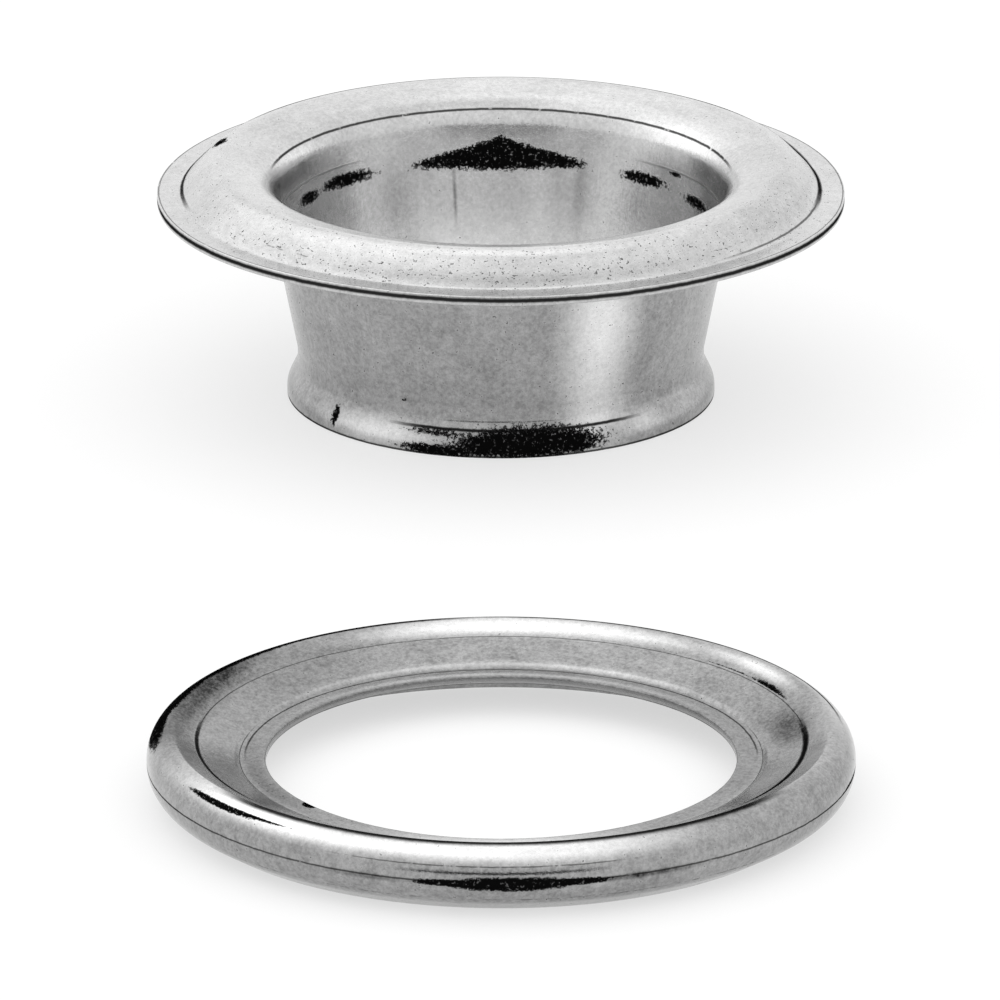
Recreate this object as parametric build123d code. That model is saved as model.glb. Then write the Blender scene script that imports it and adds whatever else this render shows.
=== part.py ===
from build123d import *
from math import atan2, cos, degrees, radians, tan
import os

# Grommet eyelet and its washer, two stamped sheet pieces, in millimetres.
# The eyelet stands on the open end of its barrel, with its axis on Z and z = 0 at that end.
# The washer lies on the same surface in front of it, with its rounded bead upwards.
# Every bend radius is the one on the inner side of its bend.

# Eyelet: sheet, barrel and flared end
eyelet_sheet = 0.35
bore_d = 14.0
flare_swell = 0.39
flare_land = 0.35
flare_length = 0.80
waist_length = 0.63
flare_bend = 0.50
waist_bend = 0.45

# Eyelet: flange at the other end
flange_d = 24.8
flange_height = 7.27

# Eyelet: throat, crown and lip, as shares of the flange's width outside the bore
cone_share = 0.237
crown_rise_share = 0.278
throat_drop_share = 0.089
shoulder_share = 0.204
lip_share = 0.157
throat_bend_share = 0.167
crown_bend_share = 0.111
foot_bend_share = 0.056

# Washer: sheet, outer diameter and the room that its hole leaves round the barrel
washer_sheet = 0.28
washer_d = 23.6
fit_clearance = 0.10

# Washer: bead rolled over the outer edge, as shares of the washer's width outside its hole
bead_bend_share = 0.197
bead_wall_share = 0.025
crest_flat_share = 0.019
curl_tail_share = 0.172
crest_slope = 26.0
curl_slope = 31.0

# Washer: flat land round the hole and the dish up to the bead, as shares of the same width
land_share = 0.214
step_run_share = 0.042
step_rise_share = 0.030
band_width_share = 0.195
band_rise_share = 0.099
dish_depth_share = 0.266
dish_bend_share = 0.074
step_bend_share = 0.020
crest_bend_share = 0.010

# Gap between the two rims on the surface
pieces_gap = 18.3

# Sizes that follow from the ones above
bore_r = bore_d / 2
flange_r = flange_d / 2
flange_width = flange_r - bore_r
flare_r = bore_r + flare_swell + eyelet_sheet
washer_r = washer_d / 2
washer_hole_r = flare_r + fit_clearance
washer_width = washer_r - washer_hole_r


def pressed_section(face_points, inner_bends, sheet):
    """Section of a bent sheet: its face line, with the metal to the right of travel."""
    points = [Vector(*point) for point in face_points]
    ways = [(end - start).normalized() for start, end in zip(points, points[1:])]
    rights = [way.rotate(Axis.Z, -90) for way in ways]
    back_points = []
    for point, right_in, right_out in zip(points, rights[:1] + rights, rights + rights[-1:]):
        mitre = sheet / (1 + right_in.dot(right_out))
        back_points.append(point + (right_in + right_out) * mitre)
    face_bends = []
    back_bends = []
    for inner, way_in, way_out in zip(inner_bends, ways, ways[1:]):
        turns_left = way_in.cross(way_out).Z > 0
        face_bends.append(inner if turns_left else inner + sheet)
        back_bends.append(inner + sheet if turns_left else inner)
    face_line = FilletPolyline(*points, radius=face_bends)
    back_line = FilletPolyline(*back_points, radius=back_bends)
    start_edge = Line(points[0], back_points[0])
    end_edge = Line(points[-1], back_points[-1])
    return make_face([face_line, back_line, start_edge, end_edge])


def turned(section):
    """Solid of revolution about Z from a section drawn as radius and height."""
    return revolve(Plane.XZ * section, Axis.Z).solid()


def eyelet():
    """Barrel with a flared end, a cone that opens into the throat, a domed crown and a flat lip."""
    waist_low = flare_land + flare_length
    waist_high = waist_low + waist_length
    lip_top = flange_height + eyelet_sheet
    crown_top = flange_height + crown_rise_share * flange_width
    throat_r = bore_r + cone_share * flange_width
    throat_z = crown_top - throat_drop_share * flange_width
    foot_r = flange_r - lip_share * flange_width
    crown_r = foot_r - shoulder_share * flange_width
    face_points = [
        (bore_r + flare_swell, 0),
        (bore_r + flare_swell, flare_land),
        (bore_r, waist_low),
        (bore_r, waist_high),
        (throat_r, throat_z),
        (crown_r, crown_top),
        (foot_r, lip_top),
        (flange_r, lip_top),
    ]
    throat_bend = throat_bend_share * flange_width
    crown_bend = crown_bend_share * flange_width
    foot_bend = foot_bend_share * flange_width
    inner_bends = [flare_bend, waist_bend, waist_bend, throat_bend, crown_bend, foot_bend]
    return turned(pressed_section(face_points, inner_bends, eyelet_sheet))


def bend_side(inner_bend, turn):
    """Length along the washer's face from a corner to where its bend begins."""
    return (inner_bend + washer_sheet) * tan(radians(turn) / 2)


def washer():
    """Ring with a flat land round its hole, a dish and a bead rolled over its outer edge."""
    step_bend = step_bend_share * washer_width
    dish_bend = dish_bend_share * washer_width
    crest_bend = crest_bend_share * washer_width
    bead_bend = bead_bend_share * washer_width
    band_slope = degrees(atan2(band_rise_share, band_width_share))
    crest_side = bend_side(crest_bend, band_slope + crest_slope)
    upper_side = bend_side(bead_bend, 90 - crest_slope)
    lower_side = bend_side(bead_bend, 90 - curl_slope)
    crest_flat = crest_flat_share * washer_width
    crest_in = (crest_side + crest_flat + upper_side) * cos(radians(crest_slope))
    curl_in = lower_side * cos(radians(curl_slope)) + curl_tail_share * washer_width

    # Heights upwards from the edge of the curl, which rests on the surface
    curl_z = curl_in * tan(radians(curl_slope))
    shoulder_z = curl_z + lower_side + bead_wall_share * washer_width + upper_side
    crest_z = shoulder_z + crest_in * tan(radians(crest_slope))
    band_z = crest_z - band_rise_share * washer_width
    land_z = crest_z - dish_depth_share * washer_width
    step_z = land_z + step_rise_share * washer_width

    # Radii from the hole outwards
    land_r = washer_hole_r + land_share * washer_width
    step_r = land_r + step_run_share * washer_width
    crest_r = washer_r - crest_in
    band_r = crest_r - band_width_share * washer_width
    face_points = [
        (washer_hole_r, land_z),
        (land_r, land_z),
        (step_r, step_z),
        (band_r, band_z),
        (crest_r, crest_z),
        (washer_r, shoulder_z),
        (washer_r, curl_z),
        (washer_r - curl_in, 0),
    ]
    inner_bends = [step_bend, step_bend, dish_bend, crest_bend, bead_bend, bead_bend]
    ring = turned(pressed_section(face_points, inner_bends, washer_sheet))
    return Pos(0, -(flange_r + pieces_gap + washer_r), 0) * ring


os.makedirs("parts", exist_ok=True)
for name, piece in (("eyelet", eyelet()), ("washer", washer())):
    export_step(piece, f"parts/{name}.step")
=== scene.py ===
import bpy
import math
import numpy as np
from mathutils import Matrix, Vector


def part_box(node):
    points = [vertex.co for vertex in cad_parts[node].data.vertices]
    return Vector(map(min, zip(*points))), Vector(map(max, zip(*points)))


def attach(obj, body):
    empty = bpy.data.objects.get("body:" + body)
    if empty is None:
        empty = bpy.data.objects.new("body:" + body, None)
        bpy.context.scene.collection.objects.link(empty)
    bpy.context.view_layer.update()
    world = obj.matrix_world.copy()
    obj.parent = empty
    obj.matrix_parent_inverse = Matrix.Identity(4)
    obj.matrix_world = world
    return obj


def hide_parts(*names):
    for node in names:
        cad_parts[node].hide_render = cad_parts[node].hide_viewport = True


# Grommet eyelet and washer of nickel-plated sheet, on a pale studio floor.
# Sizes of the pieces are in millimetres until the mesh is made. Azimuth 0 faces the camera, and
# 90 degrees is on its right.
MM = 0.001

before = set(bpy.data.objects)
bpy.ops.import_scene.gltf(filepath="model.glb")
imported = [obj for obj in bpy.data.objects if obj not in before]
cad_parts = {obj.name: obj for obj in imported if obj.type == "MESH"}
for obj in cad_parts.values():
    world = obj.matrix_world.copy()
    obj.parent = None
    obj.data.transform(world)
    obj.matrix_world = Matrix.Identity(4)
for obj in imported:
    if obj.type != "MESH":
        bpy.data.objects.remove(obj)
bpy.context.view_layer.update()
eyelet_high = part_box("eyelet")[1]
washer_low, washer_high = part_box("washer")

# Eyelet: sheet, barrel and flared end
eyelet_sheet = 0.35
bore_r = 7.0
flare_swell = 0.39
flare_land = 0.35
flare_length = 0.80
waist_length = 0.63
flare_bend = 0.50
waist_bend = 0.45

# Eyelet: flange, with its widths as shares of the flange's width outside the bore
flange_r = eyelet_high.x / MM
flange_width = flange_r - bore_r
flange_height = 7.27
cone_spread = 0.237 * flange_width
crown_rise = 0.278 * flange_width
throat_drop = 0.089 * flange_width
shoulder_run = 0.204 * flange_width
lip_width = 0.157 * flange_width
throat_bend = 0.167 * flange_width
crown_bend = 0.111 * flange_width
foot_bend = 0.056 * flange_width

# Washer: sheet, hole and outer edge
washer_sheet = 0.28
washer_r = washer_high.x / MM
fit_clearance = 0.10
washer_hole_r = bore_r + flare_swell + eyelet_sheet + fit_clearance
washer_width = washer_r - washer_hole_r

# Washer: bead, crest, dish and land, as shares of the washer's width outside its hole
bead_bend = 0.197 * washer_width
bead_wall = 0.025 * washer_width
crest_flat = 0.019 * washer_width
curl_tail = 0.172 * washer_width
crest_slope = math.radians(26)
curl_slope = math.radians(31)
land_width = 0.214 * washer_width
step_run = 0.042 * washer_width
step_rise = 0.030 * washer_width
band_width = 0.195 * washer_width
band_rise = 0.099 * washer_width
dish_depth = 0.266 * washer_width
dish_bend = 0.074 * washer_width
step_bend = 0.020 * washer_width
crest_bend = 0.010 * washer_width

# Mesh: broken edges of the cut sheet, steps along the section and round the axis
edge_round = 0.05
arc_step = 0.09
arc_turn = math.radians(14)
straight_step = 0.22
segments = 480

# Waviness: its height in millimetres, then its seed, slowest wave and number of waves
rim_wave_height = 0.018
rim_waves = (3, 2, 4)
barrel_wave_height = 0.012
barrel_waves = (5, 3, 5)
inside_wave_height = 0.02
inside_waves = (6, 9, 9)
washer_lift_height = 0.010
washer_lift_waves = (8, 2, 4)
washer_wave_height = 0.012
washer_waves = (9, 3, 5)

# Where the eyelet's waviness fades in or out: radii at the rim, heights inside the barrel, then
# the height up to which the barrel's own grows, and the share of it at the foot
rim_start_r = 10.5
rim_run = 1.9
inside_low = 2.5
inside_high = 7.0
inside_fade = 2.0
steady_height = 4
foot_share = 0.4

# Camera: the photograph's angle, its distance, and where the flange's centre sits in the image
view_pitch = math.radians(19.04)
view_distance = 500 * MM
pixels_per_mm = 27.73
image_size = 1000
flange_pixel = (501, 189.4)
sensor_mm = 36
clip_near = 0.01
clip_far = 10

# Tone of the metal, zone by zone, with the barrel's outside darker as painted shade under the
# flange, and where the zones end and how softly they meet
eyelet_tone = 0.535
barrel_shaded_tone = 0.33
washer_tone = 0.32
dish_tone = 0.25
land_tone = 0.19
darkest_tone = 0.03
lightest_tone = 0.92
barrel_top = flange_height - 0.2
barrel_fade = 0.6
land_fade = 0.1
dish_end = 3.3
dish_fade = 0.3
before_start = -1

# Soft painted highlights and painted shade, such as the barrel's bright stripe, the washer's bright
# crest and its dark left edge: azimuth, length along the section from the inner edge of the face,
# half width in degrees, half length, and the change of tone
all_round = 999
eyelet_painted_light = [
    (0, 2.4, all_round, 3.4, 0.30),
    (0, 6.6, all_round, 2.0, 0.06),
    (128, 7.9, 28, 1.1, 0.38),
    (-95, 5.8, 26, 3.2, 0.40),
    (93, 5.8, 20, 2.8, 0.26),
    (0, 10.6, 56, 1.1, 0.07),
    (78, 10.4, 50, 2.2, -0.06),
    (0, 8.1, all_round, 0.8, -0.04),
    (-150, 5.4, 7, 2.2, -0.13),
    (-138, 5.4, 5, 2.2, 0.08),
    (-112, 7.3, 22, 1.6, 0.34),
    (112, 7.3, 22, 1.6, 0.26),
    (-158, 4.6, 3, 2.0, 0.07),
    (-167.4, 5.2, 0.6, 1.6, -0.45),
    (170, 5.0, 7, 2.4, 0.10),
    (158, 5.2, 3, 2.2, -0.16),
    (150, 5.2, 5, 2.0, 0.06),
    (141, 5.5, 6, 1.6, -0.10),
    (-30, 10.9, 40, 0.5, 0.04),
    (0, 11.72, 62, 0.34, -0.13),
    (70, 11.4, 40, 0.5, -0.07),
    (27, 20.8, 16, 7.5, 0.48),
    (-36, 24.95, 26, 0.8, 0.34),
    (60, 21.5, 24, 5.0, 0.05),
    (31, 24.8, 9, 0.6, -0.10),
    (43, 24.8, 11, 0.6, 0.20),
]
washer_painted_light = [
    (-48, 3.20, 30, 0.95, 0.42),
    (-104, 3.40, 36, 1.30, -0.30),
    (180, 1.90, 60, 1.00, 0.02),
    (-60, 2.20, 18, 0.60, -0.16),
    (60, 2.20, 18, 0.60, -0.14),
    (-75, 1.60, 30, 1.20, -0.09),
    (110, 1.70, 40, 1.20, -0.04),
    (75, 4.20, 40, 1.00, -0.06),
    (-36, 3.90, 46, 0.55, 0.44),
    (4, 3.85, 38, 0.60, 0.58),
    (178, 2.95, 44, 0.60, 0.62),
    (125, 3.05, 19, 0.34, 0.45),
    (150, 2.95, 20, 0.40, 0.15),
    (-108, 3.50, 40, 0.80, -0.20),
    (97, 2.10, 15, 1.10, -0.24),
    (24, 4.95, 16, 0.16, -0.24),
    (-22, 4.95, 12, 0.14, -0.20),
    (0, 0.45, 46, 0.70, 0.42),
    (180, 0.30, 80, 0.16, 0.26),
    (180, 1.02, 85, 0.16, 0.30),
    (-75, 0.50, 34, 0.60, -0.12),
]

# Black triangle inside the throat, a painted reflection: half its width in degrees, the curve of
# its upper sides, then lengths along the face
throat_reflection_half_turn = 24
throat_reflection_curve = 0.7
throat_reflection_top = 7.40
throat_reflection_taper = 0.86
throat_reflection_bottom = 6.02
throat_reflection_lift = 0.25
throat_reflection_fade = 0.35

# Stains and painted reflections: azimuth, length along the section, half width in degrees, half
# length. The black patches low on the front of the flared end and of the washer's bead, and the
# washer's dark edge on its left and at the back, are painted dark reflections. A mark is stored as
# 1 in its middle, 0 on its edge and less outside, down to no_stain
no_stain = -2
eyelet_stains_and_reflections = [
    (-134, 6.42, 10, 0.26),
    (-117, 6.34, 6, 0.24),
    (138, 6.34, 9, 0.24),
    (115, 6.20, 8, 0.22),
    (127, 6.90, 3, 0.10),
    (-104, 10.60, 3, 0.25),
    (8, 24.96, 21, 0.66),
    (-2, 25.04, 12, 0.46),
    (20, 25.04, 9, 0.42),
    (-16, 25.30, 13, 0.24),
    (-18, 24.60, 12, 0.12),
    (-51.5, 24.85, 1.3, 0.42),
    (-28, 23.56, 1.5, 0.10),
]
washer_stains_and_reflections = [
    (-53, 0.10, 2.5, 0.22),
    (1.5, 4.95, 11, 0.26),
    (-8, 4.94, 7, 0.13),
    (11, 4.94, 8, 0.13),
    (80, 4.88, 9, 0.07),
    (-54, 3.95, 10, 0.12),
    (-46, 3.90, 10, 0.06),
    (118, 2.62, 8, 0.11),
    (130, 2.62, 12, 0.07),
    (-97, 4.02, 13, 0.46),
    (-111, 3.68, 15, 0.33),
    (-130, 3.48, 18, 0.19),
    (-150, 3.44, 22, 0.11),
]

# Thin painted shade lines round each piece, along its edges, creases and contours where shade
# falls: length along the section, half width, strength, then the azimuth and half turn that they
# cover, and how broken they are, from 0 to 1. A line that bows has two more numbers: how far it
# has moved along the section a quarter turn from an azimuth, and that azimuth
eyelet_shade_lines = [
    (8.32, 0.070, 0.88, 180, 72, 0.38),
    (9.00, 0.110, 0.94, 0, 62, 0.18, -0.85, 0),
    (10.43, 0.100, 0.75, 180, 50, 0.26, 0.60, 180),
    (10.47, 0.120, 0.95, 127, 13, 0.14, 1.00, 180),
    (10.46, 0.090, 0.85, -122, 10, 0.20, 1.00, 180),
    (6.95, 0.060, 0.55, -110, 20, 0.30),
    (6.95, 0.060, 0.55, 108, 22, 0.30),
    (11.97, 0.110, 0.94, -104, 15, 0.22),
    (11.97, 0.140, 0.97, 106, 17, 0.18),
    (11.97, 0.060, 0.65, 76, 22, 0.28),
    (11.87, 0.170, 0.96, 120, 14, 0.12, 3.00, 70),
    (11.86, 0.100, 0.85, -118, 11, 0.24, 3.00, -70),
    (12.82, 0.035, 0.50, 0, 180, 0.35),
    (11.58, 0.040, 0.45, 0, 55, 0.58),
    (13.02, 0.120, 0.96, 0, 78, 0.15),
    (13.02, 0.080, 0.75, 0, 125, 0.30),
    (13.24, 0.035, 0.70, 0, 80, 0.25),
    (24.50, 0.085, 0.95, 5, 26, 0.12),
    (25.45, 0.060, 0.85, 0, 78, 0.25),
]
washer_shade_lines = [
    (0.72, 0.050, 0.60, 180, 80, 0.30),
    (0.90, 0.030, 0.50, 0, 100, 0.40),
    (0.06, 0.030, 0.60, 0, 60, 0.48),
    (2.45, 0.030, 0.60, 0, 180, 0.35),
    (3.38, 0.270, 0.96, 0, 46, 0.10),
    (3.40, 0.120, 0.92, -140, 24, 0.14, 0.50, 180),
    (3.42, 0.080, 0.80, 140, 34, 0.20, 0.50, 180),
    (2.45, 0.100, 0.90, -76, 14, 0.16),
    (2.45, 0.150, 0.97, 75, 14, 0.12),
    (4.36, 0.030, 0.60, -2, 16, 0.42),
    (4.90, 0.045, 0.75, 0, 90, 0.34),
    (5.60, 0.030, 0.45, 0, 45, 0.52),
    (13.17, 0.140, 0.85, 180, 90, 0.15),
]

# Edges of those lines: how far they stray along the section, the share of the half width within
# which they have full strength, how softly gaps open, and degrees over which an end fades
line_stray = 0.06
line_core = 0.3
gap_fade = 0.06
arc_fade = 14

# Nick in the flared end: azimuth, height, half width in degrees, half height, then its depth and
# the height that it ends below
nick_spot = (-51, 0.66, 2.6, 0.42)
nick_depth = 0.10
nick_top = 1.3

# Specks: how many there are on each zone. On the flange they gather at the front, in a wide band
# over the crown and a narrow one at its foot, each from one length along the section to another,
# with its fade
crown_specks = (9.6, 12.8, 1.0)
crown_speck_level = 0.8
crown_speck_lean = 0.6
foot_specks = (11.3, 11.8, 0.3)
foot_speck_level = 0.5
barrel_speck_level = 0.5
washer_speck_level = 0.2
land_speck_azimuth = -70
land_speck_half_turn = 30

# Noise of the nickel: what each axis is multiplied by, then scale, detail and roughness. A
# small multiplier draws the noise out along that axis
cloud_noise = ((1, 1, 1), 0.45, 4.0, 0.6)
draw_noise = ((12, 12, 0.05), 3.0, 5.0, 0.65)
fine_noise = ((1, 1, 1), 7.0, 3.0, 0.7)
blot_noise = ((1, 1, 1), 7.0, 6.0, 0.75)
mottle_noise = ((1, 1, 1), 3.2, 2.0, 0.6)
break_noise = ((1, 1, 0.2), 1.8, 5.0, 0.75)
noise_middle = 0.5
noise_range = (0.3, 0.7)

# How far each noise moves the tone
cloud_change = 0.20
draw_change = 0.07
mottle_change = 0.18
fine_change = 0.40

# Dark marks, which are stains, painted reflections and painted shade lines: their edge, their
# painted grey glints, their specks, and the tone and the roughness that they give
stain_edge = (-0.05, 0.15)
glint_range = (0.58, 0.68)
glint_dark = 0.70
speck_start = 0.68
speck_reach = -0.05
speck_edge = 0.03
speck_dark = 0.75
dark_mark_tone = 0.004
dark_mark_roughness = 0.45

# Relief: shares of the draw lines, the grain and the dark marks, and its strength and depth
draw_relief = 0.7
fine_relief = 0.5
dark_mark_relief = -0.5
relief_strength = 0.35
relief_depth = 0.03 * MM

# Finish of each piece: lowest and highest roughness, and how ragged its stains are
eyelet_finish = (0.15, 0.23, 2.6)
washer_finish = (0.10, 0.16, 1.5)

# Colour of the light
white = (1, 1, 1, 1)

# Floor: size, tones of its paper and their scale, and how much of it glows where it is seen
floor_radius = 1.0
floor_corners = 128
paper_scale = 30.0
paper_tones = (0.89, 0.91)
floor_glow = 0.6

# Studio walls: their brightness, the azimuths between which the side walls turn into the back
# wall, and the heights between which each wall turns into the ceiling
ceiling_light = 1.2
side_light = 1.0
back_turn = (math.radians(70), math.radians(120))
back_wall_rise = (math.radians(-5), math.radians(10))
side_wall_rise = (0.0, math.radians(45))
overhead_light = 0.78
overhead_rise = (math.radians(68), math.radians(84))

# Dark place behind the camera: how dark it is, and where its sides and its top fade out
camera_side_dark = 0.96
camera_side_turn = (math.radians(36), math.radians(22))
camera_side_rise = (math.radians(12), math.radians(5))

# Soft key light: its brightness, place and size
key_light = 0.35
key_azimuth = math.radians(-130)
key_rise = math.radians(60)
key_core = math.radians(18)
key_spread = math.radians(48)


def turned_right(way):
    """Direction a quarter turn to the right of way."""
    return Vector((way.y, -way.x))


def sheet_loop(face_corners, inner_bends, sheet):
    """Corners and bend radii round the section of a bent sheet with the metal right of its face."""
    points = [Vector(corner) for corner in face_corners]
    ways = [(end - start).normalized() for start, end in zip(points, points[1:])]
    rights = [turned_right(way) for way in ways]
    back = []
    rights_in = rights[:1] + rights
    rights_out = rights + rights[-1:]
    for point, right_in, right_out in zip(points, rights_in, rights_out):
        mitre = sheet / (1 + right_in.dot(right_out))
        back.append(point + (right_in + right_out) * mitre)
    face_bends = []
    back_bends = []
    for inner, way_in, way_out in zip(inner_bends, ways, ways[1:]):
        turns_left = way_in.x * way_out.y - way_in.y * way_out.x > 0
        face_bends.append(inner if turns_left else inner + sheet)
        back_bends.append(inner + sheet if turns_left else inner)
    corners = points + back[::-1]
    bends = [edge_round] + face_bends + [edge_round] * 2 + back_bends[::-1] + [edge_round]
    return corners, bends


def bend_points(before, corner, after, bend):
    """Points of the arc that rounds a corner."""
    to_before = (before - corner).normalized()
    to_after = (after - corner).normalized()
    opening = to_before.angle(to_after)
    side = bend / math.tan(opening / 2)
    middle = (to_before + to_after).normalized()
    centre = corner + middle * (bend / math.sin(opening / 2))
    start = corner + to_before * side - centre
    turn = math.pi - opening
    left = to_before.x * to_after.y - to_before.y * to_after.x < 0
    count = max(3, math.ceil(bend * turn / arc_step), math.ceil(turn / arc_turn))
    points = []
    for step in range(count + 1):
        angle = turn * step / count * (1 if left else -1)
        cos_a, sin_a = math.cos(angle), math.sin(angle)
        points.append(centre + Vector((start.x * cos_a - start.y * sin_a,
                                       start.x * sin_a + start.y * cos_a)))
    return points


def section_loop(corners, bends):
    """Evenly spaced points round a closed section, as radius and height."""
    rounded = []
    for place, (corner, bend) in enumerate(zip(corners, bends)):
        after = corners[(place + 1) % len(corners)]
        rounded += bend_points(corners[place - 1], corner, after, bend)
    loop = []
    for start, end in zip(rounded, rounded[1:] + rounded[:1]):
        count = max(1, math.ceil((end - start).length / straight_step))
        loop += [start.lerp(end, step / count) for step in range(count)]
    return np.array(loop)


def eyelet_section():
    """Section of the eyelet, from the barrel's open end over the flange, and its face's end."""
    waist_low = flare_land + flare_length
    waist_high = waist_low + waist_length
    lip_top = flange_height + eyelet_sheet
    crown_top = flange_height + crown_rise
    foot_r = flange_r - lip_width
    face_corners = [
        (bore_r + flare_swell, 0),
        (bore_r + flare_swell, flare_land),
        (bore_r, waist_low),
        (bore_r, waist_high),
        (bore_r + cone_spread, crown_top - throat_drop),
        (foot_r - shoulder_run, crown_top),
        (foot_r, lip_top),
        (flange_r, lip_top),
    ]
    inner_bends = [flare_bend, waist_bend, waist_bend, throat_bend, crown_bend, foot_bend]
    return section_loop(*sheet_loop(face_corners, inner_bends, eyelet_sheet)), face_corners[-1]


def bend_side(inner_bend, turn):
    """Length along the washer's face from a corner to where its bend begins."""
    return (inner_bend + washer_sheet) * math.tan(turn / 2)


def washer_section():
    """Section of the washer, from its hole over the dish and the bead, and its face's end."""
    crest_side = bend_side(crest_bend, math.atan2(band_rise, band_width) + crest_slope)
    upper_side = bend_side(bead_bend, math.pi / 2 - crest_slope)
    lower_side = bend_side(bead_bend, math.pi / 2 - curl_slope)
    crest_in = (crest_side + crest_flat + upper_side) * math.cos(crest_slope)
    curl_in = lower_side * math.cos(curl_slope) + curl_tail
    curl_z = curl_in * math.tan(curl_slope)
    shoulder_z = curl_z + lower_side + bead_wall + upper_side
    crest_z = shoulder_z + crest_in * math.tan(crest_slope)
    land_z = crest_z - dish_depth
    land_r = washer_hole_r + land_width
    crest_r = washer_r - crest_in
    face_corners = [
        (washer_hole_r, land_z),
        (land_r, land_z),
        (land_r + step_run, land_z + step_rise),
        (crest_r - band_width, crest_z - band_rise),
        (crest_r, crest_z),
        (washer_r, shoulder_z),
        (washer_r, curl_z),
        (washer_r - curl_in, 0),
    ]
    inner_bends = [step_bend, step_bend, dish_bend, crest_bend, bead_bend, bead_bend]
    return section_loop(*sheet_loop(face_corners, inner_bends, washer_sheet)), face_corners[-1]


def lathed(name, loop, face_end, centre, shape):
    """Smooth mesh of a section turned about the vertical axis through centre.
    shape takes the surface's measures by name, and returns the moved radius and height and the
    values to store at each vertex, by name."""
    steps = np.hypot(*(np.roll(loop, -1, axis=0) - loop).T)
    along = np.concatenate([[0], np.cumsum(steps)[:-1]])
    end = np.argmin(np.hypot(*(loop - np.array(face_end)).T))
    azimuth = np.linspace(0, 2 * math.pi, segments, endpoint=False)
    turn, length = np.meshgrid(azimuth, along, indexing="ij")
    surface = {
        "turn": turn,
        "along": length,
        "radius": np.broadcast_to(loop[:, 0], turn.shape),
        "height": np.broadcast_to(loop[:, 1], turn.shape),
        "on_face": length <= along[end],
    }
    radius, height, values = shape(surface)
    points = np.stack([radius * np.sin(turn), -radius * np.cos(turn), height], -1)
    count = len(loop)
    ring, place = np.meshgrid(np.arange(segments), np.arange(count), indexing="ij")
    next_ring = (ring + 1) % segments
    next_place = (place + 1) % count
    faces = np.stack([ring * count + place, next_ring * count + place,
                      next_ring * count + next_place, ring * count + next_place], -1)
    mesh = bpy.data.meshes.new(name)
    mesh.from_pydata((points.reshape(-1, 3) * MM).tolist(), [], faces.reshape(-1, 4).tolist())
    mesh.polygons.foreach_set("use_smooth", np.ones(len(mesh.polygons), bool))
    store(mesh, "wrap", np.stack([np.sin(turn), -np.cos(turn), length], -1))
    reach = surface["radius"]
    store(mesh, "skin", np.stack([reach * np.sin(turn), -reach * np.cos(turn), length], -1))
    for key, value in values.items():
        store(mesh, key, np.broadcast_to(value, turn.shape))
    mesh.update()
    piece = bpy.data.objects.new(name, mesh)
    bpy.context.scene.collection.objects.link(piece)
    piece.location = centre
    return piece


def store(mesh, name, values):
    """Keeps one value or vector per vertex under a name that the materials read."""
    kind, field = ("FLOAT_VECTOR", "vector") if values.ndim == 3 else ("FLOAT", "value")
    layer = mesh.attributes.new(name, kind, "POINT")
    layer.data.foreach_set(field, np.asarray(values, np.float32).ravel())


def waves(turn, seed, slowest, count):
    """Slow random waviness round the axis, about 1 high at its peaks."""
    rng = np.random.default_rng(seed)
    total = 0
    for k in range(slowest, slowest + count):
        total = total + rng.normal() * np.sin(k * turn + rng.uniform(0, 2 * math.pi))
    return total / math.sqrt(count)


def apart(turn, azimuth):
    """Degrees between each point and one azimuth, from -180 to 180."""
    return np.degrees(np.angle(np.exp(1j * (turn - math.radians(azimuth)))))


def spot(turn, place, azimuth, at, half_turn, half_length):
    """1 in the middle of a spot, 0 on its edge, and less outside."""
    return 1 - np.hypot(apart(turn, azimuth) / half_turn, (place - at) / half_length)


def between(value, start, end, fade):
    """1 from start to end, fading to 0 over a length that is centred on each."""
    past_start = np.clip((value - start) / fade + 0.5, 0, 1)
    before_end = np.clip((end - value) / fade + 0.5, 0, 1)
    return past_start * before_end


def add_painted_light(tone, surface, painted_places):
    """The tone with soft painted highlights and painted shade."""
    for *painted_spot, change in painted_places:
        near = np.clip(spot(surface["turn"], surface["along"], *painted_spot), 0, 1)
        tone = tone + change * near * near * (3 - 2 * near)
    return np.clip(tone, darkest_tone, lightest_tone)


def add_stains_and_reflections(stain_and_painted_reflection, surface, stains):
    """The measure of stains and painted reflections, with round marks added."""
    for mark in stains:
        stain_and_painted_reflection = np.maximum(stain_and_painted_reflection, spot(surface["turn"], surface["along"], *mark))
    return stain_and_painted_reflection


def throat_reflection(surface):
    """Painted reflection inside the far side of the throat, a black rough triangle: above 0 in it.
    """
    aside = np.abs(apart(surface["turn"], 180)) / throat_reflection_half_turn
    top = throat_reflection_top - throat_reflection_taper * aside ** throat_reflection_curve
    bottom = throat_reflection_bottom + throat_reflection_lift * aside
    depth = np.minimum(top - surface["along"], surface["along"] - bottom)
    inside = np.minimum(depth, 1 - aside) / throat_reflection_fade
    return np.where(surface["on_face"], inside, no_stain)


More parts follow.
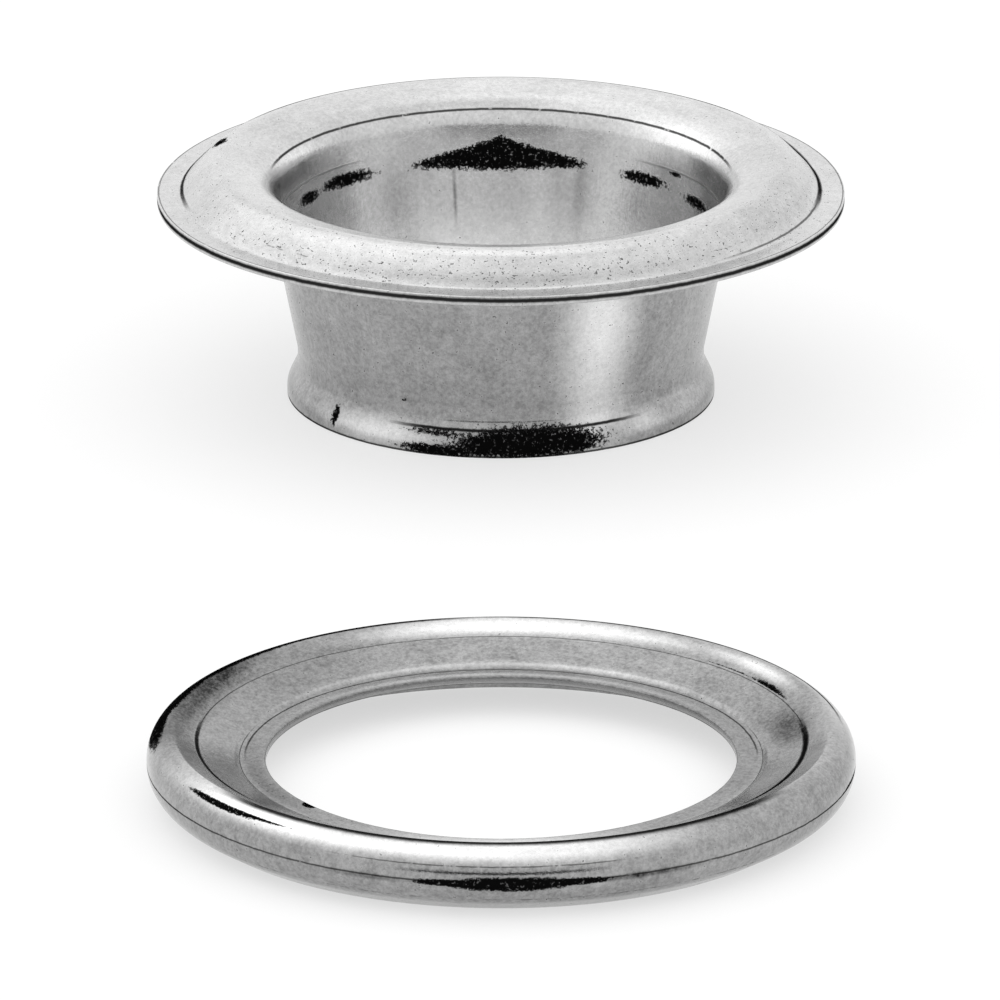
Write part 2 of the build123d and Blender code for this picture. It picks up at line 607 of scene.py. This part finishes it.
def eyelet_shape(surface):
    """The eyelet's slight waviness, the nick in its flared end, its tone with painted highlights
    and shade, and its stains and painted reflections.
    """
    turn, along, radius, height = (surface[key] for key in ("turn", "along", "radius", "height"))
    on_face = surface["on_face"]
    rim = np.clip((radius - rim_start_r) / rim_run, 0, 1)
    moved_height = height + rim_wave_height * rim * waves(turn, *rim_waves)
    steady = np.clip(height / steady_height, foot_share, 1)
    inside = on_face * between(height, inside_low, inside_high, inside_fade)
    nick = np.clip(spot(turn, height, *nick_spot), 0, 1) * (radius > bore_r + eyelet_sheet / 2)
    moved_radius = radius + barrel_wave_height * waves(turn, *barrel_waves) * steady
    moved_radius = moved_radius + inside_wave_height * inside * waves(turn, *inside_waves)
    moved_radius = moved_radius - nick_depth * nick * (height < nick_top)
    # Painted reflections in the throat and on the flared end, with the stains
    stain_and_painted_reflection = add_stains_and_reflections(throat_reflection(surface), surface, eyelet_stains_and_reflections)
    # The barrel's outside takes a darker tone, painted shade under the flange
    barrel = np.where(on_face, 0, between(height, before_start, barrel_top, barrel_fade))
    # Painted highlights and painted shade added to the tone
    tone = add_painted_light(eyelet_tone + barrel * (barrel_shaded_tone - eyelet_tone), surface, eyelet_painted_light)
    frontness = np.cos(turn)
    crown_level = crown_speck_level + crown_speck_lean * frontness
    specks = between(along, *crown_specks) * crown_level + barrel_speck_level * barrel
    foot_level = foot_speck_level * between(along, *foot_specks)
    specks = specks + foot_level * np.clip(frontness, 0, 1)
    return moved_radius, moved_height, {"stain_and_painted_reflection": stain_and_painted_reflection, "tone": tone, "specks": specks}


def washer_shape(surface):
    """The washer's slight waviness, its tone with painted highlights and shade, and its stains and
    painted reflections.
    """
    turn, along, radius, height = (surface[key] for key in ("turn", "along", "radius", "height"))
    on_face = surface["on_face"]
    lift = washer_lift_height * waves(turn, *washer_lift_waves)
    moved_height = height + lift * np.clip(height, 0, 1)
    moved_radius = radius + washer_wave_height * waves(turn, *washer_waves)
    # Stains, with painted reflections on the bead's front and its dark left edge
    stain_and_painted_reflection = add_stains_and_reflections(np.full_like(turn, no_stain), surface, washer_stains_and_reflections)
    land = between(along, before_start, land_width, land_fade) * on_face
    dish = between(along, land_width, dish_end, dish_fade) * on_face
    tone = washer_tone + land * (land_tone - washer_tone) + dish * (dish_tone - washer_tone)
    # Painted highlights and painted shade added to the tone
    tone = add_painted_light(tone, surface, washer_painted_light)
    speck_turn = (-land_speck_half_turn, land_speck_half_turn, land_speck_half_turn)
    specks = washer_speck_level + land * between(apart(turn, land_speck_azimuth), *speck_turn)
    return moved_radius, moved_height, {"stain_and_painted_reflection": stain_and_painted_reflection, "tone": tone, "specks": specks}


def put(tree, kind, values=(), **settings):
    """A new node. Values are its inputs by name or number, each a socket or a constant."""
    node = tree.nodes.new(kind)
    for name, value in settings.items():
        setattr(node, name, value)
    for key, value in dict(values).items():
        if isinstance(value, bpy.types.NodeSocket):
            tree.links.new(value, node.inputs[key])
        else:
            node.inputs[key].default_value = value
    return node


def maths(tree, operation, *values):
    """Result of a math node."""
    return put(tree, "ShaderNodeMath", enumerate(values), operation=operation).outputs[0]


def eased(tree, value, start, end, low=0.0, high=1.0):
    """Value eased from low to high as the input goes from start to end, and flat outside."""
    values = {"Value": value, "From Min": start, "From Max": end, "To Min": low, "To Max": high}
    return put(tree, "ShaderNodeMapRange", values, interpolation_type="SMOOTHSTEP").outputs[0]


def grey(tree, value):
    """A grey as light as the value."""
    return put(tree, "ShaderNodeCombineColor", {0: value, 1: value, 2: value}).outputs[0]


def grain(tree, vector, stretch, scale, detail=3.0, roughness=0.55):
    """Noise from 0 to 1, read from the vector times its stretch."""
    mapping = put(tree, "ShaderNodeMapping", {"Vector": vector, "Scale": stretch})
    values = {"Vector": mapping.outputs[0], "Scale": scale}
    values |= {"Detail": detail, "Roughness": roughness}
    return put(tree, "ShaderNodeTexNoise", values).outputs["Fac"]


def varied(tree, value, noise, change):
    """The value, raised and lowered by a noise."""
    from_middle = maths(tree, "SUBTRACT", noise, noise_middle)
    return maths(tree, "MULTIPLY_ADD", from_middle, change, value)


def new_material(name):
    """An empty node material with its output, and its node tree."""
    material = bpy.data.materials.new(name)
    material.use_nodes = True
    material.node_tree.nodes.clear()
    return material, material.node_tree


def stored(tree, name, output="Fac"):
    """A value stored on the mesh."""
    return put(tree, "ShaderNodeAttribute", attribute_name=name).outputs[output]


def cosine_from(tree, axes, azimuth):
    """Cosine of the turn round the piece from an azimuth."""
    across = maths(tree, "MULTIPLY", axes["X"], math.sin(math.radians(azimuth)))
    return maths(tree, "MULTIPLY_ADD", axes["Y"], -math.cos(math.radians(azimuth)), across)


def arc_mask(tree, axes, azimuth, half_turn):
    """1 within half_turn degrees of an azimuth of the piece, easing to 0 outside."""
    outside = math.cos(math.radians(min(half_turn + arc_fade, 180)))
    inside = math.cos(math.radians(half_turn))
    return eased(tree, cosine_from(tree, axes, azimuth), outside, inside)


def painted_shade_line(tree, axes, breaks, place, half_width, strength, azimuth, half_turn, gaps,
              bow=0, bow_from=0):
    """Mask of a thin painted shade line round the piece, at one place along its section or bowing
    from it.
    """
    strayed = maths(tree, "MULTIPLY_ADD", breaks, line_stray, place - line_stray / 2)
    off = maths(tree, "SUBTRACT", axes["Z"], strayed)
    if bow:
        away = maths(tree, "SUBTRACT", 1.0, cosine_from(tree, axes, bow_from))
        off = maths(tree, "MULTIPLY_ADD", maths(tree, "MULTIPLY", away, away), -bow, off)
    off = maths(tree, "ABSOLUTE", off)
    mask = eased(tree, off, half_width, half_width * line_core, 0.0, strength)
    if half_turn < 180:
        mask = maths(tree, "MULTIPLY", mask, arc_mask(tree, axes, azimuth, half_turn))
    return maths(tree, "MULTIPLY", mask, eased(tree, breaks, gaps - gap_fade, gaps + gap_fade))


def dark_marks_and_painted_shade(tree, wrap, skin, fine, shade_lines, raggedness):
    """Mask of everything dark on the nickel: stains and painted reflections with painted grey
    glints, specks and painted shade lines.
    """
    split = put(tree, "ShaderNodeSeparateXYZ", {0: wrap})
    axes = {axis: split.outputs[axis] for axis in "XYZ"}
    blots = grain(tree, skin, *blot_noise)
    breaks = grain(tree, skin, *break_noise)
    ragged = varied(tree, stored(tree, "stain_and_painted_reflection"), blots, raggedness)
    # Painted grey glints in the dark marks
    glints = eased(tree, fine, *glint_range, 1.0, glint_dark)
    dark = maths(tree, "MULTIPLY", eased(tree, ragged, *stain_edge), glints)
    speck_level = maths(tree, "MULTIPLY_ADD", stored(tree, "specks"), speck_reach, speck_start)
    above_level = maths(tree, "SUBTRACT", fine, speck_level)
    dark = maths(tree, "MAXIMUM", dark, eased(tree, above_level, 0.0, speck_edge, 0.0, speck_dark))
    # Painted shade lines along edges, creases and contours
    for line in shade_lines:
        dark = maths(tree, "MAXIMUM", dark, painted_shade_line(tree, axes, breaks, *line))
    return dark


def nickel(name, shade_lines, smoothest, roughest, raggedness):
    """Worn nickel plate: cloudy tone, fine grain and draw lines, the tone's painted highlights and
    shade, and dark marks that are stains, painted reflections and painted shade lines.
    """
    material, tree = new_material(name)
    wrap = stored(tree, "wrap", "Vector")
    skin = stored(tree, "skin", "Vector")
    clouds = grain(tree, skin, *cloud_noise)
    draw_lines = grain(tree, wrap, *draw_noise)
    fine = grain(tree, skin, *fine_noise)
    mottle = grain(tree, skin, *mottle_noise)
    tone = varied(tree, stored(tree, "tone"), clouds, cloud_change)
    tone = varied(tree, tone, draw_lines, draw_change)
    tone = varied(tree, tone, mottle, mottle_change)
    tone = varied(tree, tone, fine, fine_change)

    # Dark marks: stains, painted reflections and painted shade lines
    dark = dark_marks_and_painted_shade(tree, wrap, skin, fine, shade_lines, raggedness)
    unmarked = maths(tree, "SUBTRACT", 1.0, dark)
    value = maths(tree, "MULTIPLY_ADD", tone, unmarked, maths(tree, "MULTIPLY", dark, dark_mark_tone))
    rough = eased(tree, clouds, *noise_range, smoothest, roughest)
    rough = maths(tree, "MULTIPLY_ADD", dark, dark_mark_roughness, rough)

    fine_height = maths(tree, "MULTIPLY", fine, fine_relief)
    relief = maths(tree, "MULTIPLY_ADD", draw_lines, draw_relief, fine_height)
    relief = maths(tree, "MULTIPLY_ADD", dark, dark_mark_relief, relief)
    bump = put(tree, "ShaderNodeBump", {
        "Strength": relief_strength, "Distance": relief_depth, "Height": relief})
    shader = put(tree, "ShaderNodeBsdfPrincipled", {
        "Base Color": grey(tree, value), "Metallic": 1.0, "Roughness": rough,
        "Specular Tint": grey(tree, unmarked), "Normal": bump.outputs[0]})
    put(tree, "ShaderNodeOutputMaterial", {"Surface": shader.outputs[0]})
    return material


def make_piece(node, section, centre, shape, material):
    """A lathed piece that stands for one CAD node."""
    piece = lathed(node + "_metal", *section, centre, shape)
    piece.data.materials.append(material)
    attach(piece, "root")
    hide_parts(node)


def make_floor():
    """Pale floor that glows white where it is seen, and keeps the pieces' shadow."""
    material, tree = new_material("floor")
    path = put(tree, "ShaderNodeLightPath")
    seen = maths(tree, "MAXIMUM", path.outputs["Is Camera Ray"], path.outputs["Is Glossy Ray"])
    seen = maths(tree, "MAXIMUM", seen, path.outputs["Is Transmission Ray"])
    position = put(tree, "ShaderNodeTexCoord").outputs["Object"]
    fibres = grain(tree, position, (1, 1, 1), paper_scale)
    paper = eased(tree, fibres, *noise_range, *paper_tones)
    matt = put(tree, "ShaderNodeBsdfDiffuse", {"Color": grey(tree, paper)})
    glow = put(tree, "ShaderNodeEmission", {"Color": white, "Strength": 1.0})
    share = maths(tree, "MULTIPLY", seen, floor_glow)
    mixed = put(tree, "ShaderNodeMixShader", {0: share, 1: matt.outputs[0], 2: glow.outputs[0]})
    put(tree, "ShaderNodeOutputMaterial", {"Surface": mixed.outputs[0]})
    bpy.ops.mesh.primitive_circle_add(
        vertices=floor_corners, radius=floor_radius, fill_type="NGON")
    floor = bpy.context.object
    floor.name = "floor"
    floor.data.materials.append(material)


def make_world():
    """Soft studio light: pale walls and ceiling, a key light high on the left at the back, and a
    low dark place behind the camera."""
    world = bpy.data.worlds.new("studio")
    world.use_nodes = True
    tree = world.node_tree
    tree.nodes.clear()
    direction = put(tree, "ShaderNodeTexCoord").outputs["Generated"]
    axes = put(tree, "ShaderNodeSeparateXYZ", {0: direction})
    to_camera = maths(tree, "MULTIPLY", axes.outputs["Y"], -1.0)
    off_axis = maths(tree, "ABSOLUTE", maths(tree, "ARCTAN2", axes.outputs["X"], to_camera))
    rise = maths(tree, "ARCSINE", axes.outputs["Z"])
    to_back = eased(tree, off_axis, *back_turn)
    back_wall = eased(tree, rise, *back_wall_rise, 1.0, ceiling_light)
    side_wall = eased(tree, rise, *side_wall_rise, side_light, ceiling_light)
    walls = put(tree, "ShaderNodeMix", {0: to_back, 2: side_wall, 3: back_wall}).outputs[0]
    key_way = Vector((math.cos(key_rise) * math.sin(key_azimuth),
                      -math.cos(key_rise) * math.cos(key_azimuth), math.sin(key_rise)))
    to_key = put(tree, "ShaderNodeVectorMath", {0: direction, 1: key_way}, operation="DOT_PRODUCT")
    key_edge = (math.cos(key_spread), math.cos(key_core))
    key = eased(tree, to_key.outputs["Value"], *key_edge, 0.0, key_light)
    in_front = eased(tree, off_axis, *camera_side_turn)
    low = eased(tree, rise, *camera_side_rise)
    hidden = maths(tree, "MULTIPLY", maths(tree, "MULTIPLY", in_front, low), camera_side_dark)
    overhead = eased(tree, rise, *overhead_rise, 1.0, overhead_light)
    light = maths(tree, "MULTIPLY", maths(tree, "ADD", walls, key), overhead)
    light = maths(tree, "MULTIPLY", light, maths(tree, "SUBTRACT", 1.0, hidden))
    studio = put(tree, "ShaderNodeBackground", {"Color": white, "Strength": light})
    put(tree, "ShaderNodeOutputWorld", {"Surface": studio.outputs[0]})
    bpy.context.scene.world = world


def make_camera():
    """Camera at the photograph's angle."""
    data = bpy.data.cameras.new("camera")
    camera = bpy.data.objects.new("camera", data)
    bpy.context.scene.collection.objects.link(camera)
    forward = Vector((0, math.cos(view_pitch), -math.sin(view_pitch)))
    up = Vector((0, math.sin(view_pitch), math.cos(view_pitch)))
    aim = Vector((0, 0, (flange_height + eyelet_sheet) * MM))
    image_middle = image_size / 2
    aside = (flange_pixel[0] - image_middle) / pixels_per_mm * MM
    above = (image_middle - flange_pixel[1]) / pixels_per_mm * MM
    camera.location = aim - forward * view_distance - up * above - Vector((aside, 0, 0))
    camera.rotation_mode = "QUATERNION"
    camera.rotation_quaternion = forward.to_track_quat("-Z", "Y")
    data.sensor_width = sensor_mm
    data.lens = pixels_per_mm * view_distance / MM * sensor_mm / image_size
    data.clip_start = clip_near
    data.clip_end = clip_far
    bpy.context.scene.camera = camera


origin = Vector((0, 0, 0))
washer_centre = Vector((0, (washer_low.y + washer_high.y) / 2, 0))
eyelet_nickel = nickel("eyelet_nickel", eyelet_shade_lines, *eyelet_finish)
washer_nickel = nickel("washer_nickel", washer_shade_lines, *washer_finish)
make_piece("eyelet", eyelet_section(), origin, eyelet_shape, eyelet_nickel)
make_piece("washer", washer_section(), washer_centre, washer_shape, washer_nickel)
make_floor()
make_world()
make_camera()
bpy.context.scene.view_settings.view_transform = "Standard"
